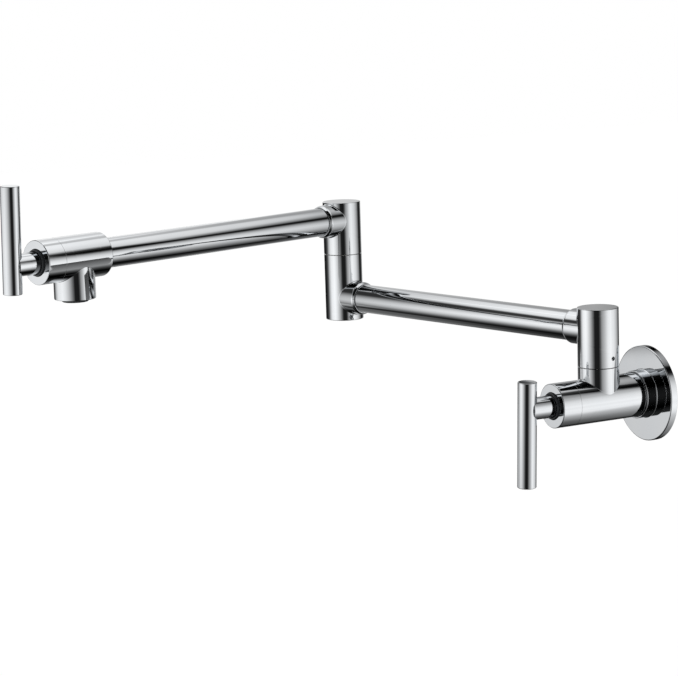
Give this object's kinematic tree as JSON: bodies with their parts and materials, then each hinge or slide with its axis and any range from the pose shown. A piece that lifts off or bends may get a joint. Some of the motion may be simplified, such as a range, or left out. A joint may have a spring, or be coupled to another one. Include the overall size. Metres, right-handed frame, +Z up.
{
  "type": "wall mounted pot filler",
  "caption": "Wall mounted pot filler tap: a double jointed swing arm with a quarter-turn T-handle valve at the wall and another at the spout.",
  "frame": {"origin": "where the wall valve's axis meets the wall plane, at the middle of the flange's back", "axes": "+Z up; the wall is the plane y = 0 and the room is on its -Y side; +X to the right for someone facing the wall"},
  "size_m": [0.2676, 0.3722, 0.198],
  "materials": {
    "chrome": "polished chrome plate on brass",
    "brass": "machined brass",
    "steel": "plain stainless steel",
    "ceramic": "lapped alumina ceramic",
    "rubber": "moulded black rubber",
    "acetal": "moulded white acetal",
    "dark_plastic": "moulded dark plastic"
  },
  "bodies": {
    "wall_unit": {"valve_body": "chrome", "wall_flange": "chrome", "flange_seal_ring": "rubber", "inlet_washer": "rubber", "wall_bonnet_sleeve": "chrome", "wall_glide_ring": "dark_plastic", "wall_cartridge_housing": "brass", "wall_cartridge_oring": "rubber", "wall_fixed_disc": "ceramic", "wall_seat_seal": "rubber", "shoulder_spigot": "brass", "shoulder_lower_oring": "rubber", "shoulder_upper_oring": "rubber", "shoulder_washer": "acetal"},
    "wall_handle": {"wall_moving_disc": "ceramic", "wall_spindle": "brass", "wall_spindle_inner_oring": "rubber", "wall_spindle_outer_oring": "rubber", "wall_handle_stem": "chrome", "wall_handle_bar": "chrome", "wall_handle_screw": "steel"},
    "lower_arm": {"shoulder_hub": "chrome", "shoulder_grub_screw": "steel", "lower_arm_tube": "chrome", "elbow_lower_hub": "chrome", "elbow_grub_screw": "steel", "elbow_washer": "acetal"},
    "upper_arm": {"elbow_upper_hub": "chrome", "elbow_spigot": "brass", "elbow_lower_oring": "rubber", "elbow_upper_oring": "rubber", "upper_arm_tube": "chrome", "outlet_body": "chrome", "aerator_washer": "rubber", "aerator_insert": "acetal", "aerator_housing": "dark_plastic", "spout_bonnet_sleeve": "chrome", "spout_glide_ring": "dark_plastic", "spout_cartridge_housing": "brass", "spout_cartridge_oring": "rubber", "spout_fixed_disc": "ceramic", "spout_seat_seal": "rubber"},
    "spout_handle": {"spout_moving_disc": "ceramic", "spout_spindle": "brass", "spout_spindle_inner_oring": "rubber", "spout_spindle_outer_oring": "rubber", "spout_handle_stem": "chrome", "spout_handle_bar": "chrome", "spout_handle_screw": "steel"}
  },
  "joints": [
    {"name": "wall_handle_turn", "type": "hinge", "parent": "wall_unit", "child": "wall_handle", "pos_m": [0, -0.0918, 0], "axis": [0, -1, 0], "range_deg": [0, 90]},
    {"name": "shoulder_swing", "type": "hinge", "parent": "wall_unit", "child": "lower_arm", "pos_m": [0, -0.0386, 0.0216], "axis": [0, 0, 1], "range_deg": [-14.67, 165.33]},
    {"name": "elbow_swing", "type": "hinge", "parent": "lower_arm", "child": "upper_arm", "pos_m": [-0.22444, -0.09735, 0.0751], "axis": [0, 0, 1], "continuous": true},
    {"name": "spout_handle_turn", "type": "hinge", "parent": "upper_arm", "child": "spout_handle", "pos_m": [-0.15513, -0.34847, 0.0986], "axis": [0.2661, -0.964, 0], "range_deg": [0, 90]}
  ]
}
